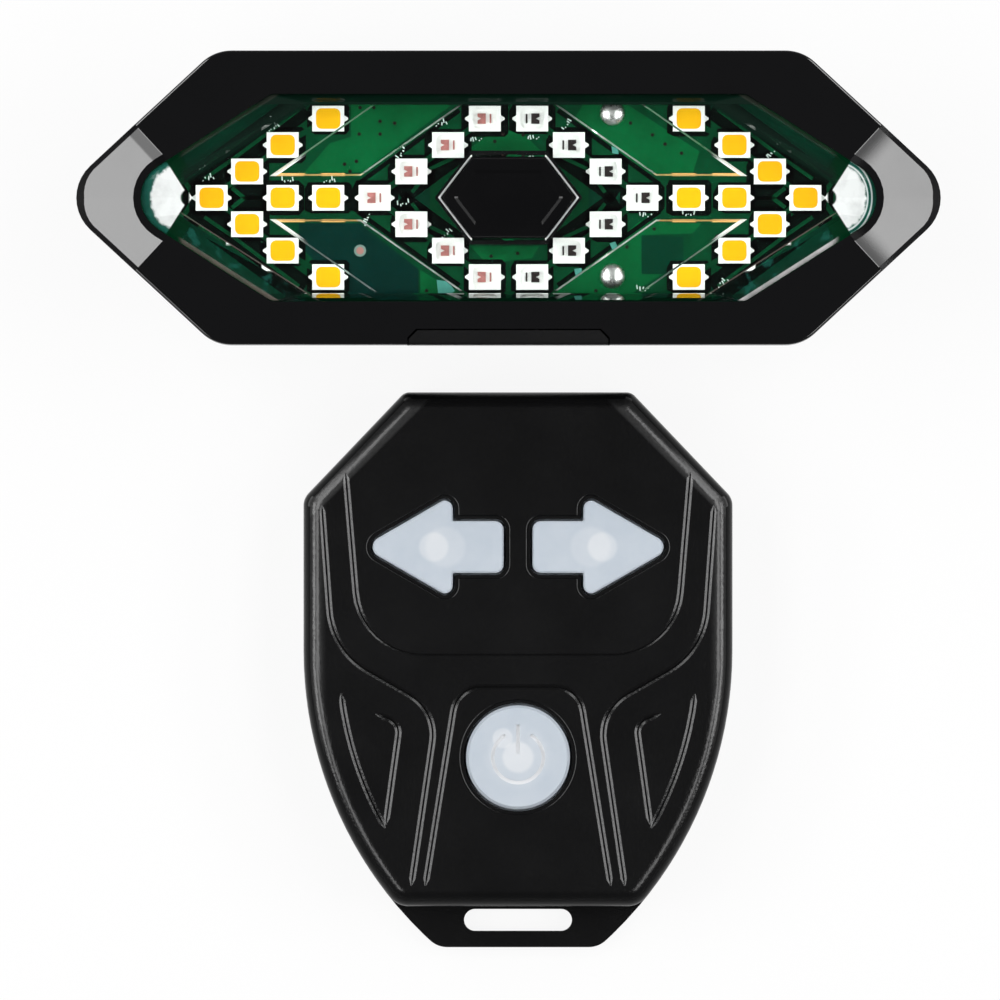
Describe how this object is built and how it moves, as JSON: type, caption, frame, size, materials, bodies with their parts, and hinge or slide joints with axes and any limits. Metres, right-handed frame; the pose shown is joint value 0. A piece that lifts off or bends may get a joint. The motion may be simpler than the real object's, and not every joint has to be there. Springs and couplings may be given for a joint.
{
  "type": "bicycle turn signal light",
  "caption": "Hexagonal LED tail and turn signal light with clear lens and seat-post saddle, beside its shield-shaped wireless remote with arrow and power keys.",
  "frame": {"origin": "middle of the pair's bounding box, on the surface that both units lie on", "axes": "+Z out of the front faces, +X to the right as seen from the front, +Y towards the top edge of the light"},
  "size_m": [0.095, 0.0988, 0.0295],
  "materials": {
    "bezel_black": "gloss",
    "clear_lens": "polished",
    "shell_black": "satin",
    "seal_rubber": "matte",
    "board_green": "solder mask",
    "led_white": "satin",
    "amber_fill": "satin",
    "led_chip": "satin",
    "part_dark": "satin",
    "switch_metal": "satin",
    "cell_metal": "satin",
    "battery_foil": "satin",
    "lead_red": "satin",
    "key_silicone": "satin",
    "contact_brass": "satin"
  },
  "bodies": {
    "light": {"light_bezel": "bezel_black", "light_lens": "clear_lens", "light_rear_shell": "shell_black", "light_gasket": "seal_rubber", "led_board": "board_green", "amber_leds_left": "led_white", "amber_leds_right": "led_white", "amber_fill_left": "amber_fill", "amber_fill_right": "amber_fill", "red_leds": "led_white", "red_chips": "led_chip", "mode_switch": "switch_metal", "board_parts": "part_dark", "battery": "battery_foil", "battery_pad": "seal_rubber", "battery_leads": "lead_red", "usb_socket": "switch_metal", "usb_tongue": "part_dark", "usb_hinge_pin": "switch_metal", "shell_screws": "switch_metal", "seat_post_saddle": "shell_black", "saddle_pad": "seal_rubber", "saddle_screws": "switch_metal"},
    "mode_button": {"mode_button": "bezel_black"},
    "usb_cover": {"usb_cover": "seal_rubber"},
    "remote": {"remote_top_shell": "shell_black", "remote_base": "shell_black", "remote_board": "board_green", "key_switches": "switch_metal", "remote_led": "led_white", "coin_cell": "cell_metal", "cell_contact": "contact_brass", "remote_screws": "switch_metal"},
    "left_button": {"left_button": "key_silicone"},
    "right_button": {"right_button": "key_silicone"},
    "power_button": {"power_button": "key_silicone"},
    "battery_cap": {"battery_cap": "shell_black", "cap_seal": "seal_rubber"}
  },
  "joints": [
    {"name": "mode_press", "type": "slide", "parent": "light", "child": "mode_button", "axis": [0, 0, -1], "range_m": [0, 0.0005], "stiffness_N_per_m": 500},
    {"name": "cover_open", "type": "hinge", "parent": "light", "child": "usb_cover", "pos_m": [0, 0.01765, 0.01705], "axis": [1, 0, 0], "range_deg": [0, 95]},
    {"name": "remote_away", "type": "slide", "parent": "light", "child": "remote", "axis": [0, -1, 0], "range_m": [0, 0.03]},
    {"name": "left_press", "type": "slide", "parent": "remote", "child": "left_button", "axis": [0, 0, -1], "range_m": [0, 0.0006], "stiffness_N_per_m": 400},
    {"name": "right_press", "type": "slide", "parent": "remote", "child": "right_button", "axis": [0, 0, -1], "range_m": [0, 0.0006], "stiffness_N_per_m": 400},
    {"name": "power_press", "type": "slide", "parent": "remote", "child": "power_button", "axis": [0, 0, -1], "range_m": [0, 0.0006], "stiffness_N_per_m": 400},
    {"name": "cap_turn", "type": "hinge", "parent": "remote", "child": "battery_cap", "pos_m": [0.00105, -0.01915, 0.0001], "axis": [0, 0, -1], "range_deg": [0, 40]}
  ]
}
